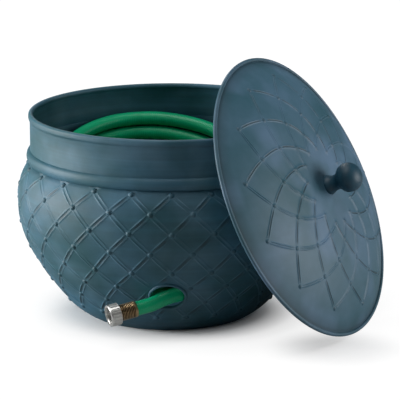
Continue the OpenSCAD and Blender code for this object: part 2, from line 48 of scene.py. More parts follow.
camera = {
    "place": (0.0, -4.13485, 1.18025),
    "pan": 0.0114012,       # radians to the right of +Y
    "tilt": 0.2390935,      # radians below level
    "roll": -0.000957,
    "lens": 246.71, "sensor": 36, "clipEnd": 60,
}
bpy.ops.object.camera_add(location=camera["place"])
cam = bpy.context.object
cam.name = "photoCamera"
aim = (Matrix.Rotation(-camera["pan"], 4, "Z") @ Matrix.Rotation(pi / 2 - camera["tilt"], 4, "X")
       @ Matrix.Rotation(camera["roll"], 4, "Z"))
cam.rotation_euler = aim.to_euler()
cam.data.sensor_width = camera["sensor"]
cam.data.lens = camera["lens"]
cam.data.clip_end = camera["clipEnd"]
scene.camera = cam
print("camera set")


# small helpers

def deselect():
    if bpy.context.object and bpy.context.object.mode != "OBJECT":
        bpy.ops.object.mode_set(mode="OBJECT")
    bpy.ops.object.select_all(action="DESELECT")


def pick(obj):
    deselect()
    obj.select_set(True)
    bpy.context.view_layer.objects.active = obj


def heading(degrees):
    return np.array([cos(radians(degrees)), sin(radians(degrees))])


def unit(v):
    v = np.array(v, float)
    return v / np.linalg.norm(v)


def bezier(a, b, c, d, n):
    t = np.linspace(0, 1, n + 1)[:, None]
    s = 1 - t
    a, b, c, d = (np.array(p, float) for p in (a, b, c, d))
    return s ** 3 * a + 3 * s * s * t * b + 3 * s * t * t * c + t ** 3 * d


def arc(centre, r, start, end, n):
    a = np.radians(np.linspace(start, end, n + 1))
    return np.array(centre) + r * np.stack([np.cos(a), np.sin(a)], -1)


def smoothRoute(points, n):
    # Catmull-Rom curve through the points, n steps from each to the next
    p = np.array(points, float)
    q = np.vstack([2 * p[0] - p[1], p, 2 * p[-1] - p[-2]])
    out = []
    for a, b, c, d in zip(q[:-3], q[1:-2], q[2:-1], q[3:]):
        for k in range(n):
            t = k / n
            out.append(0.5 * (2 * b + (c - a) * t + (2 * a - 5 * b + 4 * c - d) * t * t
                              + (3 * b - a - 3 * c + d) * t ** 3))
    out.append(p[-1])
    return np.array(out)


def alongLine(points):
    # how far along the line each of its points lies
    return np.concatenate([[0], np.cumsum(np.linalg.norm(np.diff(points, axis=0), axis=1))])


def smoothFaces(obj, degrees):
    pick(obj)
    bpy.ops.object.shade_smooth_by_angle(angle=radians(degrees))


def outwards(obj):
    pick(obj)
    bpy.ops.object.mode_set(mode="EDIT")
    bpy.ops.mesh.select_all(action="SELECT")
    bpy.ops.mesh.remove_doubles(threshold=0.01 * mm)
    bpy.ops.mesh.normals_make_consistent(inside=False)
    bpy.ops.object.mode_set(mode="OBJECT")


def spun(name, outline, steps):
    # the outline is drawn as a chain of vertices, (radius, height) in mm, and spun once round Z
    deselect()
    bpy.ops.mesh.primitive_plane_add(size=1, location=(0, 0, 0))
    obj = bpy.context.object
    obj.name = name
    bpy.ops.object.mode_set(mode="EDIT")
    bpy.ops.mesh.select_all(action="SELECT")
    bpy.ops.mesh.merge(type="CENTER")
    last = Vector((0, 0, 0))
    for i, (r, z) in enumerate(outline):
        spot = Vector((r * mm, 0, z * mm))
        if i == 0:
            bpy.ops.transform.translate(value=spot)
        else:
            bpy.ops.mesh.extrude_vertices_move(TRANSFORM_OT_translate={"value": spot - last})
        last = spot
    r, z = outline[0]
    bpy.ops.mesh.extrude_vertices_move(TRANSFORM_OT_translate={"value": Vector((r * mm, 0, z * mm)) - last})
    bpy.ops.mesh.select_all(action="SELECT")
    bpy.ops.mesh.spin(steps=steps, angle=2 * pi, center=(0, 0, 0), axis=(0, 0, 1))
    bpy.ops.object.mode_set(mode="OBJECT")
    outwards(obj)
    return obj


def meshObject(name, spots, faces):
    mesh = bpy.data.meshes.new(name)
    mesh.from_pydata([tuple(s * mm) for s in spots], [], faces)
    obj = bpy.data.objects.new(name, mesh)
    scene.collection.objects.link(obj)
    return obj


def thickened(obj, sheet):
    pick(obj)
    wall = obj.modifiers.new("sheet", "SOLIDIFY")
    wall.thickness = sheet * mm
    wall.offset = -1
    bpy.ops.object.modifier_apply(modifier=wall.name)


def placeMesh(obj, matrix):
    obj.data.transform(matrix)
    obj.data.update()


def facing(spot, d):
    # a frame at spot, in mm, whose Z runs along d
    return (Matrix.Translation(Vector(spot) * mm) @ Matrix.Rotation(atan2(d[1], d[0]), 4, "Z")
            @ Matrix.Rotation(acos(d[2]), 4, "Y"))


def coordinates(obj):
    out = np.empty(len(obj.data.vertices) * 3, dtype=np.float32)
    obj.data.vertices.foreach_get("co", out)
    return out.reshape(-1, 3) / mm


def setPointValues(obj, name, values):
    field = obj.data.attributes.new(name, "FLOAT", "POINT")
    field.data.foreach_set("value", np.asarray(values, dtype=np.float32))


def finish(obj, body, slot, material, *nodes):
    obj.data.materials.clear()
    obj.data.materials.append(material)
    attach(obj, body)
    if nodes:
        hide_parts(*nodes)


# materials; every size is in mm and every colour an sRGB hex value

def linear(hexCode):
    def one(c):
        c = c / 255
        return c / 12.92 if c <= 0.04045 else ((c + 0.055) / 1.055) ** 2.4
    h = hexCode.lstrip("#")
    return (one(int(h[0:2], 16)), one(int(h[2:4], 16)), one(int(h[4:6], 16)), 1.0)


def addNode(tree, kind, inputs=None, **settings):
    node = tree.nodes.new(kind)
    for key, value in settings.items():
        setattr(node, key, value)
    for key, value in (inputs or {}).items():
        if isinstance(value, bpy.types.NodeSocket):
            tree.links.new(value, node.inputs[key])
        else:
            node.inputs[key].default_value = value
    return node


def newMaterial(name, **shader):
    material = bpy.data.materials.new(name)
    material.use_nodes = True
    surface = material.node_tree.nodes["Principled BSDF"]
    for key, value in shader.items():
        surface.inputs[key].default_value = value
    return material, material.node_tree, surface


# powder-coated steel sheet, pressed, spun and sprayed: an even satin skin in which the eye finds soft
# patches, faint rings from the spinning, a painted highlight on the embossing's ridges and painted shade in
# its channels and on its studs
potFinish = {
    "base": "#2d5a6e", "deep": "#124750", "pale": "#6c8da2", "shadow": "#0d2830",
    "patch": 110, "patchFrom": 0.38, "patchTo": 0.66,
    "cloud": 75, "cloudFrom": 0.5, "cloudTo": 0.7, "clouds": 0.2,
    "ringLong": 1000 / 3, "ringHigh": 6.25, "rings": 0.1,
    # how much painted highlight the ridges take, and how much painted shade the channels and studs take
    "ridges": 0.5, "channels": 0.6,
    "peel": 2.2, "peelDeep": 0.4, "peelShare": 0.12,        # orange peel, coarser than real so that it shows
    "rough": 0.6,
}
# on the lid the ridges take less painted highlight and the channels a little more painted shade
lidFinish = {
    **potFinish, "base": "#3f6276", "deep": "#255260", "pale": "#6e88aa",
    "clouds": 0.32, "rings": 0.02, "ridges": 0.2, "channels": 0.65, "rough": 0.56,
}


def paintedSteel(name, look):
    material, tree, surface = newMaterial(name, Roughness=look["rough"], IOR=1.5)
    coords = addNode(tree, "ShaderNodeTexCoord")
    patch = addNode(tree, "ShaderNodeTexNoise", {
        "Vector": coords.outputs["Object"], "Scale": 1 / (look["patch"] * mm), "Detail": 4, "Roughness": 0.6})
    share = addNode(tree, "ShaderNodeMapRange", {
        "Value": patch.outputs["Fac"], "From Min": look["patchFrom"], "From Max": look["patchTo"]})
    patched = addNode(tree, "ShaderNodeMix", {
        0: share.outputs[0], 6: linear(look["base"]), 7: linear(look["deep"])}, data_type="RGBA")
    cloud = addNode(tree, "ShaderNodeTexNoise", {
        "Vector": coords.outputs["Object"], "Scale": 1 / (look["cloud"] * mm), "Detail": 2, "Roughness": 0.4})
    share = addNode(tree, "ShaderNodeMapRange", {
        "Value": cloud.outputs["Fac"], "From Min": look["cloudFrom"], "From Max": look["cloudTo"],
        "To Max": look["clouds"]})
    clouded = addNode(tree, "ShaderNodeMix", {
        0: share.outputs[0], 6: patched.outputs[2], 7: linear(look["pale"])}, data_type="RGBA")
    # the rings are noise drawn out round the piece and short along its height
    across, up = 1 / (look["ringLong"] * mm), 1 / (look["ringHigh"] * mm)
    squeezed = addNode(tree, "ShaderNodeMapping", {
        "Vector": coords.outputs["Object"], "Scale": (across, across, up)})
    ring = addNode(tree, "ShaderNodeTexNoise", {
        "Vector": squeezed.outputs[0], "Scale": 1, "Detail": 4, "Roughness": 0.6})
    light = addNode(tree, "ShaderNodeMapRange", {
        "Value": ring.outputs["Fac"], "From Min": 0.35, "From Max": 0.65,
        "To Min": 1 - look["rings"], "To Max": 1 + look["rings"]})
    ringed = addNode(tree, "ShaderNodeMix", {
        0: 1.0, 6: clouded.outputs[2], 7: light.outputs[0]}, data_type="RGBA", blend_type="MULTIPLY")
    # relief is 1 on the embossing's ridges, where a painted highlight goes, and -1 in its channels, where
    # painted shade goes
    relief = addNode(tree, "ShaderNodeAttribute", attribute_name="relief")
    share = addNode(tree, "ShaderNodeMapRange", {
        "Value": relief.outputs["Fac"], "From Min": 0.2, "From Max": 1.0, "To Max": look["ridges"]})
    paintedHighlight = addNode(tree, "ShaderNodeMix", {
        0: share.outputs[0], 6: ringed.outputs[2], 7: linear(look["pale"])}, data_type="RGBA")
    # painted shade: channels and studs darken towards the shadow colour
    share = addNode(tree, "ShaderNodeMapRange", {
        "Value": relief.outputs["Fac"], "From Min": 0.0, "From Max": -1.0, "To Max": look["channels"]})
    shaded = addNode(tree, "ShaderNodeMix", {
        0: share.outputs[0], 6: paintedHighlight.outputs[2], 7: linear(look["shadow"])}, data_type="RGBA")
    tree.links.new(shaded.outputs[2], surface.inputs["Base Color"])
    peel = addNode(tree, "ShaderNodeTexNoise", {
        "Vector": coords.outputs["Object"], "Scale": 1 / (look["peel"] * mm), "Detail": 2, "Roughness": 0.5})
    bump = addNode(tree, "ShaderNodeBump", {
        "Height": peel.outputs["Fac"], "Strength": look["peelShare"], "Distance": look["peelDeep"] * mm})
    tree.links.new(bump.outputs[0], surface.inputs["Normal"])
    return material


def mottled(name, look, **shader):
    # the colour drifts between two tones, in spots of about the size given
    material, tree, surface = newMaterial(name, **shader)
    coords = addNode(tree, "ShaderNodeTexCoord")
    noise = addNode(tree, "ShaderNodeTexNoise", {
        "Vector": coords.outputs["Object"], "Scale": 1 / (look["spot"] * mm),
        "Detail": look["detail"], "Roughness": look["grit"]})
    tone = addNode(tree, "ShaderNodeMix", {
        0: noise.outputs["Fac"], 6: linear(look["dark"]), 7: linear(look["light"])}, data_type="RGBA")
    tree.links.new(tone.outputs[2], surface.inputs["Base Color"])
    return material, tree, surface, tone.outputs[2]


potPaint = paintedSteel("powderCoatedSteel", potFinish)
lidPaint = paintedSteel("powderCoatedSteelLid", lidFinish)

# the same paint on a small turned knob, thicker there: darker and a little glossier than the sheet
knobFinish = {"dark": "#0e3345", "light": "#184657", "spot": 6, "detail": 4, "grit": 0.6}
knobPaint = mottled("paintedKnob", knobFinish, Roughness=0.5, IOR=1.45)[0]

# extruded soft vinyl: a strong even green, a long soft streak of light, and ribs round the tube that
# the eye sees as a faint grain
hoseFinish = {"dark": "#009c68", "light": "#00b980", "spot": 30, "detail": 3, "grit": 0.5,
              "ribPitch": 3.2, "ribDeep": 0.3, "ribShare": 0.35}
hoseVinyl, tree, surface, tone = mottled("extrudedVinyl", hoseFinish, Roughness=0.34, IOR=1.46)
along = addNode(tree, "ShaderNodeAttribute", attribute_name="along")
turns = addNode(tree, "ShaderNodeMath", {
    0: along.outputs["Fac"], 1: 2 * pi / hoseFinish["ribPitch"]}, operation="MULTIPLY")
rib = addNode(tree, "ShaderNodeMath", {0: turns.outputs[0]}, operation="SINE")
bump = addNode(tree, "ShaderNodeBump", {
    "Height": rib.outputs[0], "Strength": hoseFinish["ribShare"], "Distance": hoseFinish["ribDeep"] * mm})
tree.links.new(bump.outputs[0], surface.inputs["Normal"])

# stamped brass, left bare: brown tarnish with worn pale gold, and painted shade, almost black, between the
# ribs
brassFinish = {"dark": "#8a6c4d", "light": "#d8bd92", "spot": 5, "detail": 4, "grit": 0.6,
               "hollow": "#120c08", "hollowFull": -0.7}
brass, tree, surface, tone = mottled("stampedBrass", brassFinish, Metallic=1.0, Roughness=0.36)
relief = addNode(tree, "ShaderNodeAttribute", attribute_name="relief")
share = addNode(tree, "ShaderNodeMapRange", {
    "Value": relief.outputs["Fac"], "From Min": 0.0, "From Max": brassFinish["hollowFull"]})
ribShaded = addNode(tree, "ShaderNodeMix", {
    0: share.outputs[0], 6: tone, 7: linear(brassFinish["hollow"])}, data_type="RGBA")
tree.links.new(ribShaded.outputs[2], surface.inputs["Base Color"])

# nickel plate on the nut and the male end: bright, slightly warm and satin, with broken highlights
nickelFinish = {"dark": "#bdbdba", "light": "#e2e1dd", "spot": 4, "detail": 3, "grit": 0.5}
nickel = mottled("nickelPlate", nickelFinish, Metallic=1.0, Roughness=0.36)[0]

# zinc plate on the lid's screw and washer: a duller and bluer grey than the nickel
zincFinish = {"dark": "#9a9da0", "light": "#c4c6c8", "spot": 4, "detail": 3, "grit": 0.5}
steel = mottled("zincPlatedSteel", zincFinish, Metallic=1.0, Roughness=0.35)[0]

# moulded rubber: black and matt, with a little dust
rubberFinish = {"dark": "#17191b", "light": "#2a2c2e", "spot": 2, "detail": 3, "grit": 0.5}
rubber = mottled("mouldedRubber", rubberFinish, Roughness=0.7, IOR=1.52)[0]
print("materials made")


# the pot's outline: the solid's own curves, outside, from the foot up

pot = {
    "sheet": 1.2,
    "foot": (128.6, 0.0), "footSlope": 28, "footPull": 4,
    "flank": (164.5, 30.0), "flankSlope": 57, "flankPullDown": 18, "flankPullUp": 22,
    "belly": (235.0, 180.0), "bellyPullDown": 75, "bellyPullUp": 38,
    "neck": (216.0, 238.0), "neckSlope": 110, "neckPull": 4,
    "curveSteps": (8, 14, 10),
    "collar": 215.0, "rimTop": 314.8, "rimBar": 3.9,
    "lap": 24, "seam": 0.2,
}


def potOutline(fineness):
    foot, flank = np.array(pot["foot"]), np.array(pot["flank"])
    belly, neck = np.array(pot["belly"]), np.array(pot["neck"])
    flankWay = heading(pot["flankSlope"])
    low, middle, high = (n * fineness for n in pot["curveSteps"])
    a = bezier(foot, foot + pot["footPull"] * heading(pot["footSlope"]),
               flank - pot["flankPullDown"] * flankWay, flank, low)
    b = bezier(flank, flank + pot["flankPullUp"] * flankWay, belly - (0, pot["bellyPullDown"]), belly, middle)
    c = bezier(belly, belly + (0, pot["bellyPullUp"]),
               neck - pot["neckPull"] * heading(pot["neckSlope"]), neck, high)
    return np.vstack([a, b[1:], c[1:]])


profile = potOutline(fineness=6)


def bellyRadius(z):
    return float(np.interp(z, profile[:, 1], profile[:, 0]))


def bellyLean(z, reach=6):
    return atan2(bellyRadius(z + reach) - bellyRadius(z - reach), 2 * reach)


# the outlet's place; its frame's Z points out of the pot

outlet = {
    "radius": 25.0, "z": 71.0, "around": -91.0, "depth": 80.0, "cutWider": 2.0, "steps": 96,
    "lip": 4.5, "lipSunk": 0.5, "lipSteps": 14,
}
outletTilt = bellyLean(outlet["z"])
atOutlet = (Matrix.Rotation(radians(outlet["around"]), 4, "Z")
            @ Matrix.Translation((bellyRadius(outlet["z"]) * mm, 0, outlet["z"] * mm))
            @ Matrix.Rotation(pi / 2 + outletTilt, 4, "Y"))
outletSpot = np.array(atOutlet.translation) / mm
outletWay = np.array(atOutlet.to_3x3() @ Vector((0, 0, 1)))


# hose: one length, from the swivel end through the outlet, the coil and the two loose loops

hose = {
    "radius": 10.75,
    "coilPitch": 22.0, "layers": 4, "layerLoops": 3.5, "coilZ": 66.0, "room": 4.0, "coilFrom": -30.0,
    "climbHalf": 0.25,          # loops before and after a layer's end in which the coil climbs
    "nutFace": (-91.0, -231.3, 52.0), "nutHeading": (-0.922, -0.354, -0.158),
    "maleEnd": (64.0, -104.5, 183.5), "maleHeading": (1.0, -0.03, 0.02),
    "stem": 18.5, "endWall": 2.0, "grip": 23.0,
    "lead": [(-28.8, -208.6, 63), (-7.7, -196.2, 69.2), (7.9, -184.1, 70.6)],
    # beside the coil: loops before its start, and rise above it
    "besideCoil": [(0.141, 5.5), (0.112, 6), (0.082, 1.3), (0.049, 0.1)],
    "climb": [(173, -30, 139), (171, 25, 158), (151, 78, 179), (115, 130, 202), (60, 179, 223)],
    "looseMiddle": (-15.0, 48.5, 183.7), "looseRadius": 150.0,
    "looseSlope": (-0.046, 0.301), "looseRise": 23.3,
    "looseFrom": 4, "looseTo": 22,      # in looseSteps of a loop
    "straight": 3.0,
    "coilSteps": 48, "looseSteps": 12, "curveSteps": 8, "roundSteps": 6,
}
nutFace, nutWay = np.array(hose["nutFace"]), unit(hose["nutHeading"])
maleEnd, maleWay = np.array(hose["maleEnd"]), unit(hose["maleHeading"])
lean = bellyLean(hose["coilZ"])
coilRadius = bellyRadius(hose["coilZ"]) - (pot["sheet"] + hose["radius"]) / cos(lean) - hose["room"]
coilTurns = hose["layers"] * hose["layerLoops"]


def loopPoint(t):
    # the coil after t loops: the layers wind in and out in turn
    layer = int(min(t, coilTurns - 0.001) // hose["layerLoops"])        # its very end is still the last layer
    into = t - layer * hose["layerLoops"]
    r = coilRadius - hose["coilPitch"] * (into if layer % 2 == 0 else hose["layerLoops"] - into)
    change = round(t / hose["layerLoops"])
    past = t - change * hose["layerLoops"]
    climbing = 0 < change < hose["layers"] and abs(past) < hose["climbHalf"]
    level = change - 0.5 + past / (2 * hose["climbHalf"]) if climbing else layer
    a = radians(hose["coilFrom"] + 360 * t)
    return np.array([r * cos(a), r * sin(a), hose["coilZ"] + hose["coilPitch"] * level])


def loopWay(t):
    a = radians(hose["coilFrom"] + 360 * t + 90)
    return np.array([cos(a), sin(a), 0.0])


def loosePoint(t):
    # the loose loops lie in a tilted plane, against the far wall
    out = hose["looseRadius"] * heading(hose["coilFrom"] + 360 * t)
    return np.array(hose["looseMiddle"]) + (*out, out @ np.array(hose["looseSlope"]) + hose["looseRise"] * t)


coilStart = loopPoint(0) - 2 * hose["radius"] * loopWay(0)
coilEnd = loopPoint(coilTurns) + 2 * hose["radius"] * loopWay(coilTurns)
gripped = [nutFace - (hose["stem"] + hose["endWall"] + d * hose["grip"]) * nutWay for d in (0, 0.5, 1)]
beside = []
for t, rise in hose["besideCoil"]:
    a = radians(hose["coilFrom"] - 360 * t)
    r = coilRadius + hose["coilPitch"] * t
    beside.append(np.array([r * cos(a), r * sin(a), hose["coilZ"] + rise]))
lead = smoothRoute(gripped + [np.array(p, float) for p in hose["lead"]] + beside
                   + [coilStart - hose["straight"] * loopWay(0)], hose["curveSteps"])
coil = np.array([loopPoint(i / hose["coilSteps"]) for i in range(int(hose["coilSteps"] * coilTurns) + 1)])
loose = [loosePoint(i / hose["looseSteps"]) for i in range(hose["looseFrom"], hose["looseTo"] + 1)]
tail = [maleEnd - d * hose["grip"] * maleWay for d in (1, 0.5, 0)]
loops = smoothRoute([coilEnd + hose["straight"] * loopWay(coilTurns)]
                    + [np.array(p, float) for p in hose["climb"]] + loose + tail, hose["curveSteps"])
route = np.vstack([lead, coil, loops])

deselect()
line = bpy.data.curves.new("hoseLine", "CURVE")
line.dimensions = "3D"
line.bevel_depth = hose["radius"] * mm
line.bevel_resolution = hose["roundSteps"]
line.use_fill_caps = True
spline = line.splines.new("POLY")
spline.points.add(len(route) - 1)
for point, spot in zip(spline.points, route):
    point.co = (*(spot * mm), 1)
hoseTube = bpy.data.objects.new("hose", line)
scene.collection.objects.link(hoseTube)
pick(hoseTube)
bpy.ops.object.convert(target="MESH")
hoseTube = bpy.context.object
outwards(hoseTube)
# each vertex keeps how far along the hose it is, for the ribs
centres = KDTree(len(route))
for i, spot in enumerate(route):
    centres.insert(spot * mm, i)
centres.balance()
nearest = [centres.find(w.co)[1] for w in hoseTube.data.vertices]
setPointValues(hoseTube, "along", alongLine(route)[nearest])
smoothFaces(hoseTube, 40)
finish(hoseTube, "pot", "hose", hoseVinyl, "hose_coil", "hose_lead", "hose_loops")


# embossed lattice, for bowl and lid: studs in rows, joined by diagonal bars
# each bar is a channel between two fine ridges; its sizes are in each piece's look

lattice = {
    "roundPower": 0.6,          # how full a stud and a channel are
    "barFade": 1.6,             # a bar dies out over this length at its ends
    "channelLeast": 0.02,
    # painted shade darkens each stud, and a painted highlight draws the pale line round it
    "studShade": 0.5,
    "moatOff": 1.2, "moatHalf": 1.0, "moatShade": 0.5,      # the pale line round a stud
    "spare": 4,                 # lines laid out beyond the rows, for the slant
}


def rounded(q):
    return np.clip(1 - q * q, 0, None) ** lattice["roundPower"]


def latticeHeight(u, v, across, rowGaps, look):
    # u counts studs round the piece, v counts rows; across and rowGaps are those steps in mm
    # shade is 1 on a bar's ridges, for a painted highlight, and -1 in the channel between them, for painted
    # shade
    rows = len(rowGaps)
    i = np.clip(np.floor(v), 0, rows - 1).astype(int)
    t = v - i
    down = np.array(rowGaps)[i]
    length = np.hypot(across / 2, down)
    inside = (v >= 0) & (v <= rows)
    height, shade = np.zeros_like(u), np.zeros_like(u)
    for side in (0.5, -0.5):
        a = (u - (i % 2) * 0.5 - side * t + 0.5) % 1.0 - 0.5
        off = np.abs(a) * across * down / length
        along = t * length + a * across * side * across / length
        past = np.maximum(0, np.maximum(look["gap"] - along, along - (length - look["gap"])))
        whole = np.clip(1 - past / lattice["barFade"], 0, 1) * inside
        ridge = whole * np.exp(-((off - look["ridgeAt"]) / look["ridgeHalf"]) ** 2)
        height = np.maximum(height, look["barHigh"] * ridge)
        channel = whole * rounded(off / look["ridgeAt"])
        shade = np.where(channel > lattice["channelLeast"], -channel, np.maximum(shade, ridge))
    j = np.clip(np.round(v), 0, rows).astype(int)
    k = np.clip(j, 0, rows - 1)
    du = ((u - (j % 2) * 0.5 + 0.5) % 1.0 - 0.5) * across
    d = np.hypot(du, (v - j) * np.array(rowGaps)[k])
    stud = rounded(d / look["studR"])
    moat = np.exp(-((d - look["studR"] - lattice["moatOff"]) / lattice["moatHalf"]) ** 2)
    # studs take painted shade, the pale line round them a painted highlight
    shade = np.where(stud > 0, -lattice["studShade"] * stud, shade + lattice["moatShade"] * moat)
    return np.maximum(height, look["studHigh"] * stud), shade


def latticeSkin(name, studs, vFrom, vTo, stops, place):
    # quads that run along both families of bars, so that each bar has edges of its own
    n = len(stops)
    count = studs * n
    beyond = vTo + lattice["spare"]
    line = (np.arange(-beyond, studs + beyond)[:, None] + np.array(stops)).ravel()
    start = beyond * n
    mFrom, mTo = vFrom * n, vTo * n
    i, m = np.meshgrid(np.arange(count), np.arange(mFrom, mTo + 1), indexing="ij")
    p, q = line[start + i], line[start + i - m]
    spots = place((p + q) / 2, p - q)
    wide = mTo - mFrom + 1
    faces = []
    for a in range(count):
        b = (a + 1) % count
        for c in range(1, wide - 1):
            faces.append((a * wide + c, b * wide + c + 1, b * wide + c, a * wide + c - 1))
    return meshObject(name, spots.reshape(-1, 3), faces)


def openMesh(obj):
    # the piece's mesh for editing, rid of vertices that no face uses
    bm = bmesh.new()
    bm.from_mesh(obj.data)
    bmesh.ops.delete(bm, geom=[w for w in bm.verts if not w.link_faces], context="VERTS")
    return bm


def closeMesh(bm, obj):
    bmesh.ops.recalc_face_normals(bm, faces=bm.faces[:])
    bm.to_mesh(obj.data)
    bm.free()


near = 0.05 * mm        # two places this close count as one
mergeNear = 0.1 * mm


def trimmed(bm, height, above):
    away = 1 if above else -1
    bmesh.ops.bisect_plane(bm, geom=bm.verts[:] + bm.edges[:] + bm.faces[:], dist=near,
                           plane_co=(0, 0, height * mm), plane_no=(0, 0, away), clear_outer=True)
    bmesh.ops.remove_doubles(bm, verts=bm.verts[:], dist=mergeNear)
    bmesh.ops.dissolve_degenerate(bm, edges=bm.edges[:], dist=near)


def ringsOn(bm, height, outline):
    # the open edge at this height is drawn out, ring by ring, along the outline
    edges = [e for e in bm.edges if e.is_boundary and all(abs(v.co.z - height * mm) < near for v in e.verts)]
    for r, z in outline:
        made = bmesh.ops.extrude_edge_only(bm, edges=edges)["geom"]
        edges = [e for e in made if isinstance(e, bmesh.types.BMEdge) and e.is_boundary]
        for v in [g for g in made if isinstance(g, bmesh.types.BMVert)]:
            around = atan2(v.co.y, v.co.x)
            v.co = (r * mm * cos(around), r * mm * sin(around), z * mm)


# bowl

bowl = {
    "studs": 23, "firstStud": -120.6,
    "rows": [232.5, 206.0, 176.0, 145.0, 112.0, 86.0, 58.0, 30.0],      # heights of the rows of studs
    "look": {"ridgeAt": 2.8, "ridgeHalf": 0.95, "barHigh": 0.9, "gap": 6.6, "studR": 4.0, "studHigh": 2.3},
    "bareRound": 33.0, "bareFade": 2.0,         # no embossing this near the outlet's middle
    # where the mesh lines lie between two studs, close together beside the bars
    "stops": [0, 0.022, 0.042, 0.06, 0.078, 0.096, 0.13, 0.37, 0.63, 0.87, 0.904, 0.922, 0.94, 0.958, 0.978],
    "vFrom": -2, "vTo": 9,                      # more rows than show, because their edge is ragged
    "trimLow": 20.0, "trimHigh": 237.8, "clearOfTrim": 1.0,
    "beyondFoot": (10, 10), "beyondNeck": (0, 60),      # the outline runs on for the trimmed rows
    "lapFrom": 5,                               # above the neck
}
upward = np.vstack([[profile[0] - bowl["beyondFoot"]], profile, [pot["neck"] + np.array(bowl["beyondNeck"])]])
downward = upward[::-1]
lengths = alongLine(downward)
rowAt = [float(np.interp(-z, -downward[:, 1], lengths)) for z in bowl["rows"]]
rowGaps = list(np.diff(rowAt))
slopes = np.gradient(downward, lengths, axis=0)


def rowLength(v):
    # distance down the outline at row v, run on past the first and the last row
    rows = len(rowGaps)
    inner = np.interp(v, np.arange(rows + 1), rowAt)
    return inner + np.minimum(v, 0) * rowGaps[0] + np.maximum(v - rows, 0) * rowGaps[-1]


def outletDistance(spots):
    # distance from the outlet's axis, near the outlet only
    d = spots - outletSpot
    along = d @ outletWay
    r = np.sqrt(np.maximum((d * d).sum(-1) - along * along, 0))
    return np.where(np.abs(along) < outlet["depth"] / 2, r, np.inf)


def bowlHeight(u, v, r, spots):
    h, shade = latticeHeight(u, v, 2 * pi * r / bowl["studs"], rowGaps, bowl["look"])
    fade = np.clip((outletDistance(spots) - bowl["bareRound"]) / bowl["bareFade"], 0, 1)
    return h * fade, shade * fade


def onBowl(u, v):
    s = rowLength(v)
    r = np.interp(s, lengths, downward[:, 0])
    z = np.interp(s, lengths, downward[:, 1])
    tr = np.interp(s, lengths, slopes[:, 0])
    tz = np.interp(s, lengths, slopes[:, 1])
    size = np.hypot(tr, tz)
    nr, nz = -tz / size, tr / size
    a = np.radians(bowl["firstStud"] + 360 / bowl["studs"] * u)
    flat = np.stack([r * np.cos(a), r * np.sin(a), z], -1)
    h = bowlHeight(u, v, r, flat)[0]
    return np.stack([(r + h * nr) * np.cos(a), (r + h * nr) * np.sin(a), z + h * nz], -1)


def bowlShade(spots):
    r = np.hypot(spots[:, 0], spots[:, 1])
    down = np.interp(-spots[:, 2], -downward[:, 1], lengths)
    rows = len(rowGaps)
    v = np.interp(down, rowAt, np.arange(rows + 1))
    v = np.where(down < rowAt[0], (down - rowAt[0]) / rowGaps[0], v)
    v = np.where(down > rowAt[-1], rows + (down - rowAt[-1]) / rowGaps[-1], v)
    u = (np.degrees(np.arctan2(spots[:, 1], spots[:, 0])) - bowl["firstStud"]) / (360 / bowl["studs"])
    return bowlHeight(u, v, r, spots)[1]


skin = latticeSkin("bowlSkin", bowl["studs"], bowl["vFrom"], bowl["vTo"], bowl["stops"], onBowl)
bm = openMesh(skin)
trimmed(bm, bowl["trimHigh"], True)
trimmed(bm, bowl["trimLow"], False)
footRings = [p for p in potOutline(fineness=1)[::-1] if p[1] < bowl["trimLow"] - bowl["clearOfTrim"]]
ringsOn(bm, bowl["trimLow"], footRings)
# above the neck the bowl's edge stands up inside the collar
neckR, neckZ = pot["neck"]
lapR = pot["collar"] - pot["sheet"] - pot["seam"]
ringsOn(bm, bowl["trimHigh"], [(neckR, neckZ), (lapR, neckZ + bowl["lapFrom"]), (lapR, neckZ + pot["lap"])])
closeMesh(bm, skin)
thickened(skin, pot["sheet"])
deselect()
bpy.ops.mesh.primitive_cylinder_add(vertices=outlet["steps"], depth=outlet["depth"] * mm,
                                    radius=(outlet["radius"] + outlet["cutWider"]) * mm)
cutter = bpy.context.object
placeMesh(cutter, atOutlet)
pick(skin)
cut = skin.modifiers.new("outlet", "BOOLEAN")
cut.object = cutter
cut.operation = "DIFFERENCE"
cut.solver = "EXACT"
bpy.ops.object.modifier_apply(modifier=cut.name)
bpy.data.objects.remove(cutter)
smoothFaces(skin, 50)
setPointValues(skin, "relief", bowlShade(coordinates(skin)))
finish(skin, "pot", "pot_paint", potPaint, "bowl")
print("bowl made,", len(skin.data.polygons), "faces")


# collar, with the bead at its foot and the rolled rim

band = {
    "crease": 19.0,                             # height of the crease above the neck
    "beadFoot": (217.4, 238.5), "beadOut": 5.5,
    # the bead's pulls, in times beadOut, with the lower one's height and the upper one's drop from the crease
    "beadPullLow": (1.33, 243.0), "beadPullHigh": (1.24, 1.5),
    "bandRings": (12, 25), "bandTop": 9.0,                              # above the crease, below the rim
    "curlFrom": (0.8, 6.6), "curlPull": (2.6, 5.0), "curlEnd": 2.4,     # out from the band, down from the rim
    "rimIn": 1.8, "rimFrom": 12, "rimTo": 236,                          # degrees round the rolled bar
    "wallTop": 7.0, "wallLow": 20.0,                                    # below the rim, above the crease
    "creaseIn": (3.2, 5.0), "beadIn": (4.1, 247.0), "footIn": (0.9, 239.6),     # the bead's inner side
    "steps": 184, "beadSteps": 16, "curlSteps": 8, "rimSteps": 20,
}
bandR, creaseZ = pot["collar"], pot["neck"][1] + band["crease"]
rimZ, rimR = pot["rimTop"] - pot["rimBar"], pot["collar"] - band["rimIn"]
footR, footZ = band["beadFoot"]
lowOut, lowZ = band["beadPullLow"]
highOut, highDrop = band["beadPullHigh"]
bead = bezier((footR, footZ), (bandR + lowOut * band["beadOut"], lowZ),
              (bandR + highOut * band["beadOut"], creaseZ - highDrop), (bandR, creaseZ), band["beadSteps"])
curlIn, curlDown = band["curlFrom"]
pullOut, pullDown = band["curlPull"]
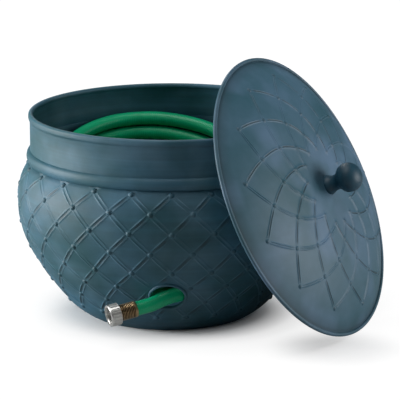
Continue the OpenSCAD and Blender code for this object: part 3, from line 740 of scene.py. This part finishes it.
curl = bezier((bandR + curlIn, rimZ - curlDown), (bandR + pullOut, rimZ - pullDown),
              (rimR + pot["rimBar"], rimZ - band["curlEnd"]), (rimR + pot["rimBar"], rimZ), band["curlSteps"])
flat = [(bandR, creaseZ + up) for up in band["bandRings"]] + [(bandR, rimZ - band["bandTop"])]
rim = arc((rimR, rimZ), pot["rimBar"], band["rimFrom"], band["rimTo"], band["rimSteps"])
innerR = bandR - pot["sheet"]
inner = [(innerR, rimZ - band["wallTop"]), (innerR, creaseZ + band["wallLow"]), (innerR, creaseZ),
         (bandR + band["creaseIn"][0], creaseZ - band["creaseIn"][1]),
         (bandR + band["beadIn"][0], band["beadIn"][1]), (footR - band["footIn"][0], band["footIn"][1])]
collar = spun("collarSkin", [tuple(p) for p in np.vstack([bead, flat, curl, rim, inner])], band["steps"])
smoothFaces(collar, 45)
setPointValues(collar, "relief", np.zeros(len(collar.data.vertices)))
finish(collar, "pot", "pot_paint", potPaint, "collar")
print("collar made")


# rolled lip round the outlet: a half-round bead on a foot that reaches down to the curved wall

half = outlet["lip"] / 2
outerR = outlet["radius"] + outlet["lip"]
sink = outerR ** 2 * cos(outletTilt) / (2 * bellyRadius(outlet["z"]))
bead = arc((outlet["radius"] + half, -outlet["lipSunk"]), half, 0, 180, outlet["lipSteps"])
foot = [(outlet["radius"], -pot["sheet"] - sink), (outerR, -pot["sheet"] - sink)]
lip = spun("outletLip", foot + [tuple(p) for p in bead], outlet["steps"])
placeMesh(lip, atOutlet)
smoothFaces(lip, 45)
setPointValues(lip, "relief", np.zeros(len(lip.data.vertices)))
finish(lip, "pot", "pot_paint", potPaint, "outlet_lip")
print("lip made")


# lid

lid = {
    "radius": 220.0, "bar": 3.0, "sheet": 1.0,
    "domeR": 216.0, "domeLow": 1.5, "dome": 49.0, "power": 3,
    "studs": 13, "firstStud": 108.15,
    "rows": [187.0, 151.0, 117.0, 84.0, 60.0],         # radii of the rings of studs
    "outerStep": 34, "innerStep": 24,                   # from row to row beyond the first and the last
    "look": {"ridgeAt": 1.6, "ridgeHalf": 0.8, "barHigh": 0.85, "gap": 5.5, "studR": 3.4, "studHigh": 1.7},
    "stops": [0, 0.014, 0.027, 0.039, 0.051, 0.064, 0.085, 0.2, 0.35, 0.5, 0.65, 0.8, 0.915, 0.936, 0.949,
              0.961, 0.973, 0.986],
    "vFrom": -1, "vTo": 5,
    "edgeR": 200.0, "edgeRings": (204.0, 208.0, 212.0, 215.0),
    "barFrom": 162, "barTo": -150, "barSteps": 18,
    "coreR": 52.0, "coreRings": (44.0, 34.0, 24.0, 14.0, 6.0, 2.8),     # the last is the screw's hole
    # the paint darkens towards the edge over edgeFade; painted shade lies in a line at lineR, the groove
    # inside the rolled bar, and on the rolled bar
    "edgeFade": 12, "edgeShade": 0.5, "lineR": 215.5, "lineHalf": 1.6, "barR": 218.5, "barShade": 0.35,
    "lean": 25.6, "around": -27.9, "shift": 8.4, "reach": 221.6,
}


def domeHeight(r):
    return lid["domeLow"] + lid["dome"] * (1 - (np.minimum(r, lid["domeR"]) / lid["domeR"]) ** lid["power"])


def domeSlope(r):
    return -lid["dome"] * lid["power"] * r ** (lid["power"] - 1) / lid["domeR"] ** lid["power"]


ringGaps = [hypot(a - b, domeHeight(a) - domeHeight(b)) for a, b in zip(lid["rows"][:-1], lid["rows"][1:])]


def lidRadius(v):
    rows = len(ringGaps)
    r = np.interp(v, np.arange(rows + 1), lid["rows"])
    return r - np.minimum(v, 0) * lid["outerStep"] - np.maximum(v - rows, 0) * lid["innerStep"]


def lidPlan(u, v):
    # flat plan of the lattice, with the radius as depth too, so that it can be trimmed at a radius
    r = np.maximum(lidRadius(v), 1.0)
    a = np.radians(lid["firstStud"] + 360 / lid["studs"] * u)
    return np.stack([r * np.cos(a), r * np.sin(a), -r], -1)


def lidRelief(spots):
    r = np.hypot(spots[:, 0], spots[:, 1])
    v = np.interp(-r, -np.array(lid["rows"]), np.arange(len(ringGaps) + 1))
    outside, within = np.maximum(r - lid["rows"][0], 0), np.maximum(lid["rows"][-1] - r, 0)
    v = v - outside / lid["outerStep"] + within / lid["innerStep"]
    u = (np.degrees(np.arctan2(spots[:, 1], spots[:, 0])) - lid["firstStud"]) / (360 / lid["studs"])
    return latticeHeight(u, v, 2 * pi * r / lid["studs"], ringGaps, lid["look"])


def lidShade(spots):
    # the lattice's painted highlight and shade, darker towards the edge, and painted shade in the groove and
    # on the rolled bar
    r = np.hypot(spots[:, 0], spots[:, 1])
    edge = (lid["edgeShade"] * np.clip((r - lid["edgeR"]) / lid["edgeFade"], 0, 1)
            + lid["edgeShade"] * np.exp(-((r - lid["lineR"]) / lid["lineHalf"]) ** 2))
    return lidRelief(spots)[1] - np.where(r < lid["barR"], edge, lid["barShade"])


disc = latticeSkin("lidSkin", lid["studs"], lid["vFrom"], lid["vTo"], lid["stops"], lidPlan)
bm = openMesh(disc)
trimmed(bm, -lid["coreR"], True)
trimmed(bm, -lid["edgeR"], False)
plan = np.array([tuple(w.co) for w in bm.verts]) / mm
for w, (x, y, z), h in zip(bm.verts, plan, lidRelief(plan)[0]):
    r = hypot(x, y)
    slope = domeSlope(r)
    grown = (r - h * slope / hypot(1, slope)) / r
    w.co = Vector((x * grown, y * grown, float(domeHeight(r)) + h / hypot(1, slope))) * mm
edgeRings = [(r, float(domeHeight(r))) for r in lid["edgeRings"]]
rolledBar = arc((lid["radius"], 0.0), lid["bar"], lid["barFrom"], lid["barTo"], lid["barSteps"])
ringsOn(bm, float(domeHeight(lid["edgeR"])), edgeRings + [tuple(p) for p in rolledBar])
ringsOn(bm, float(domeHeight(lid["coreR"])), [(r, float(domeHeight(r))) for r in lid["coreRings"]])
closeMesh(bm, disc)
if sum(p.normal.z for p in disc.data.polygons) < 0:
    disc.data.flip_normals()
thickened(disc, lid["sheet"])
setPointValues(disc, "relief", lidShade(coordinates(disc)))
# it stands on its edge and leans on the pot's rim
lidZ = lid["radius"] * cos(radians(lid["lean"])) + lid["bar"]
onLidPlace = (Matrix.Rotation(radians(lid["around"]), 4, "Z")
              @ Matrix.Translation(Vector((lid["reach"], lid["shift"], lidZ)) * mm)
              @ Matrix.Rotation(radians(90 - lid["lean"]), 4, "Y")
              @ Matrix.Rotation(radians(90), 4, "Z"))
placeMesh(disc, onLidPlace)
smoothFaces(disc, 50)
finish(disc, "lid", "lid_paint", lidPaint, "lid_disc")
print("lid made,", len(disc.data.polygons), "faces")


# ribbed ferrules, pressed over the hose's ends

ferrule = {
    "length": 25.0, "outside": 12.35, "bore": 10.85, "way": 6.5, "endWall": 2.0,
    "ribs": 8, "ribsFrom": 0.8, "ribsTo": 20.4, "ribDeep": 1.0, "ribPower": 1.3, "ribSteps": 10,
    "mouth": 0.2, "mouthRise": 0.5, "chamfer": 0.6, "steps": 72,
}
ribAt = np.linspace(ferrule["ribsFrom"], ferrule["ribsTo"], ferrule["ribSteps"] * ferrule["ribs"] + 1)
phase = 2 * pi * ferrule["ribs"] * (ribAt - ribAt[0]) / (ribAt[-1] - ribAt[0])
ribbed = ferrule["outside"] - ferrule["ribDeep"] * (0.5 + 0.5 * np.cos(phase)) ** ferrule["ribPower"]
mouthR = ferrule["outside"] - ferrule["mouth"]
sleeve = [(ferrule["way"], 0.0), (ribbed[0], 0.0), *zip(ribbed, ribAt),
          (mouthR, ferrule["ribsTo"] + ferrule["mouthRise"]),
          (mouthR, ferrule["length"] - ferrule["chamfer"]),
          (ferrule["outside"] - ferrule["chamfer"], ferrule["length"]), (ferrule["bore"], ferrule["length"]),
          (ferrule["bore"], ferrule["endWall"]), (ferrule["way"], ferrule["endWall"])]
for name, node, spot, way in (
        ("ferruleNutEnd", "ferrule_female", nutFace - hose["stem"] * nutWay, -nutWay),
        ("ferruleFarEnd", "ferrule_male", maleEnd + hose["endWall"] * maleWay, -maleWay)):
    piece = spun(name, [(float(r), float(z)) for r, z in sleeve], ferrule["steps"])
    spots = coordinates(piece)
    # how deep each point lies between the ribs, for the painted shade there
    deep = (ferrule["outside"] - np.hypot(spots[:, 0], spots[:, 1])) / ferrule["ribDeep"]
    onRibs = (spots[:, 2] > 0.1) & (spots[:, 2] < ferrule["ribsTo"] + 0.1)
    setPointValues(piece, "relief", -np.clip(deep, 0, 1) * onRibs)
    placeMesh(piece, facing(spot, way))
    smoothFaces(piece, 50)
    finish(piece, "pot", "brass", brass, node)
print("ferrules made")


# thread inside the nut: a low ridge that winds along the bore

thread = {
    "root": 13.15, "crest": 12.45, "crestFrom": 0.75, "crestTo": 1.05, "width": 1.8,
    "pitch": 2.2, "from": 0.9, "turns": 3.2, "steps": 60,
}
deselect()
ridge = [(thread["root"], 0.0), (thread["crest"], thread["crestFrom"]), (thread["crest"], thread["crestTo"]),
         (thread["root"], thread["width"])]
spots, faces = [], []
count = int(thread["turns"] * thread["steps"])
for i in range(count + 1):
    a = 2 * pi * i / thread["steps"]
    for r, z in ridge:
        high = thread["from"] + z + thread["pitch"] * i / thread["steps"]
        spots.append(np.array([r * cos(a), r * sin(a), high]))
for i in range(count):
    for k in range(4):
        faces.append((4 * i + k, 4 * i + (k + 1) % 4, 4 * i + 4 + (k + 1) % 4, 4 * i + 4 + k))
faces += [(3, 2, 1, 0), tuple(4 * count + k for k in range(4))]
nutThread = meshObject("nutThread", spots, faces)
outwards(nutThread)
placeMesh(nutThread, facing(nutFace, -nutWay))
smoothFaces(nutThread, 30)
finish(nutThread, "swivel", "nickel", nickel)
print("nut thread made")

# pieces kept from the frame, with their finishes

kept = {
    "base_pan": potPaint, "lid_knob": knobPaint, "knob_washer": steel, "knob_screw": steel,
    "swivel_stem": brass, "hose_washer": rubber, "swivel_nut": nickel, "male_coupling": nickel,
}
for node, material in kept.items():
    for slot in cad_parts[node].material_slots:
        slot.material = material
print("kept pieces finished")


# floor of white paper: the camera sees it lit from within, fading to its own shaded grey near the pot
# and under the lid's edge, where the object's shadow stays

stageSet = {
    "floor": 14.0, "far": 1.2, "glow": 1.06,
    "seen": "#ffffff", "litBy": "#b4b4b4",      # the paper for the camera, and for all other rays
    # how much of the floor's whiteness is its own at these distances, in m, from the middle
    "whiteness": [(0.13, 0.0), (0.15, 0.1), (0.17, 0.35), (0.2, 0.7), (0.23, 0.82), (0.3, 0.86), (0.6, 0.95),
                  (1.2, 1.0)],
    "lidFoot": (0.25, -0.235, 0.0), "underLid": 0.4, "lidNear": 0.02, "lidFar": 0.12,
    "skyLight": 0.08,
}
deselect()
bpy.ops.mesh.primitive_plane_add(size=stageSet["floor"], location=(0, 0, 0))
floor = bpy.context.object
floor.name = "floor"
floorPaper, tree, surface = newMaterial("whitePaper", Roughness=0.9)
paths = addNode(tree, "ShaderNodeLightPath")
shown = addNode(tree, "ShaderNodeMix", {
    0: paths.outputs["Is Camera Ray"], 6: linear(stageSet["litBy"]),
    7: linear(stageSet["seen"])}, data_type="RGBA")
tree.links.new(shown.outputs[2], surface.inputs["Base Color"])
coords = addNode(tree, "ShaderNodeTexCoord")
fromMiddle = addNode(tree, "ShaderNodeVectorMath", {0: coords.outputs["Object"]}, operation="LENGTH")
reach = addNode(tree, "ShaderNodeMath", {
    0: fromMiddle.outputs["Value"], 1: stageSet["far"]}, operation="DIVIDE")
white = addNode(tree, "ShaderNodeValToRGB", {"Fac": reach.outputs[0]})
stops = white.color_ramp.elements
while len(stops) < len(stageSet["whiteness"]):
    stops.new(1.0)
for stop, (distance, level) in zip(stops, stageSet["whiteness"]):
    stop.position = distance / stageSet["far"]
    stop.color = (level, level, level, 1)
fromLid = addNode(tree, "ShaderNodeVectorMath", {
    0: coords.outputs["Object"], 1: stageSet["lidFoot"]}, operation="DISTANCE")
atLid = addNode(tree, "ShaderNodeMapRange", {
    "Value": fromLid.outputs["Value"], "From Min": stageSet["lidNear"], "From Max": stageSet["lidFar"],
    "To Min": stageSet["underLid"]}, interpolation_type="SMOOTHSTEP")
faded = addNode(tree, "ShaderNodeMath", {0: white.outputs[0], 1: atLid.outputs[0]}, operation="MULTIPLY")
share = addNode(tree, "ShaderNodeMath", {
    0: paths.outputs["Is Camera Ray"], 1: faded.outputs[0]}, operation="MULTIPLY")
glow = addNode(tree, "ShaderNodeEmission", {"Color": (1, 1, 1, 1), "Strength": stageSet["glow"]})
mixed = addNode(tree, "ShaderNodeMixShader", {0: share.outputs[0], 1: surface.outputs[0], 2: glow.outputs[0]})
tree.links.new(mixed.outputs[0], tree.nodes["Material Output"].inputs["Surface"])
floor.data.materials.append(floorPaper)


# the world is white to the camera and gives only a little light

world = bpy.data.worlds.new("studio")
scene.world = world
world.use_nodes = True
tree = world.node_tree
sky = tree.nodes["Background"]
sky.inputs["Color"].default_value = (1, 1, 1, 1)
paths = addNode(tree, "ShaderNodeLightPath")
seen = addNode(tree, "ShaderNodeMath", {
    0: paths.outputs["Is Camera Ray"], 1: paths.outputs["Is Transmission Ray"]}, operation="MAXIMUM")
level = addNode(tree, "ShaderNodeMapRange", {
    "Value": seen.outputs[0], "To Min": stageSet["skyLight"], "To Max": 1.0})
tree.links.new(level.outputs[0], sky.inputs["Strength"])

# soft lamps, aimed at the pot's middle: name, place in m, width in m, power in W
lampAim = Vector((0, 0, 0.15))
lamps = [
    ("softboxLeft", (-2.75, 0.12, 0.62), 1.2, 114.0),
    ("softboxRight", (2.65, -0.3, 0.6), 1.2, 42.0),
    ("frontSheet", (-1.2, -2.6, 2.6), 1.6, 7.0),
    ("topSheet", (-0.4, -0.4, 3.0), 1.9, 38.0),
    ("backSheet", (-0.5, 2.2, 2.2), 1.0, 20.0),
]
for name, place, size, power in lamps:
    bpy.ops.object.light_add(type="AREA", location=place)
    lamp = bpy.context.object
    lamp.name = name
    lamp.data.size = size
    lamp.data.energy = power
    lamp.rotation_euler = (lampAim - Vector(place)).to_track_quat("-Z", "Y").to_euler()
print("floor and light set")
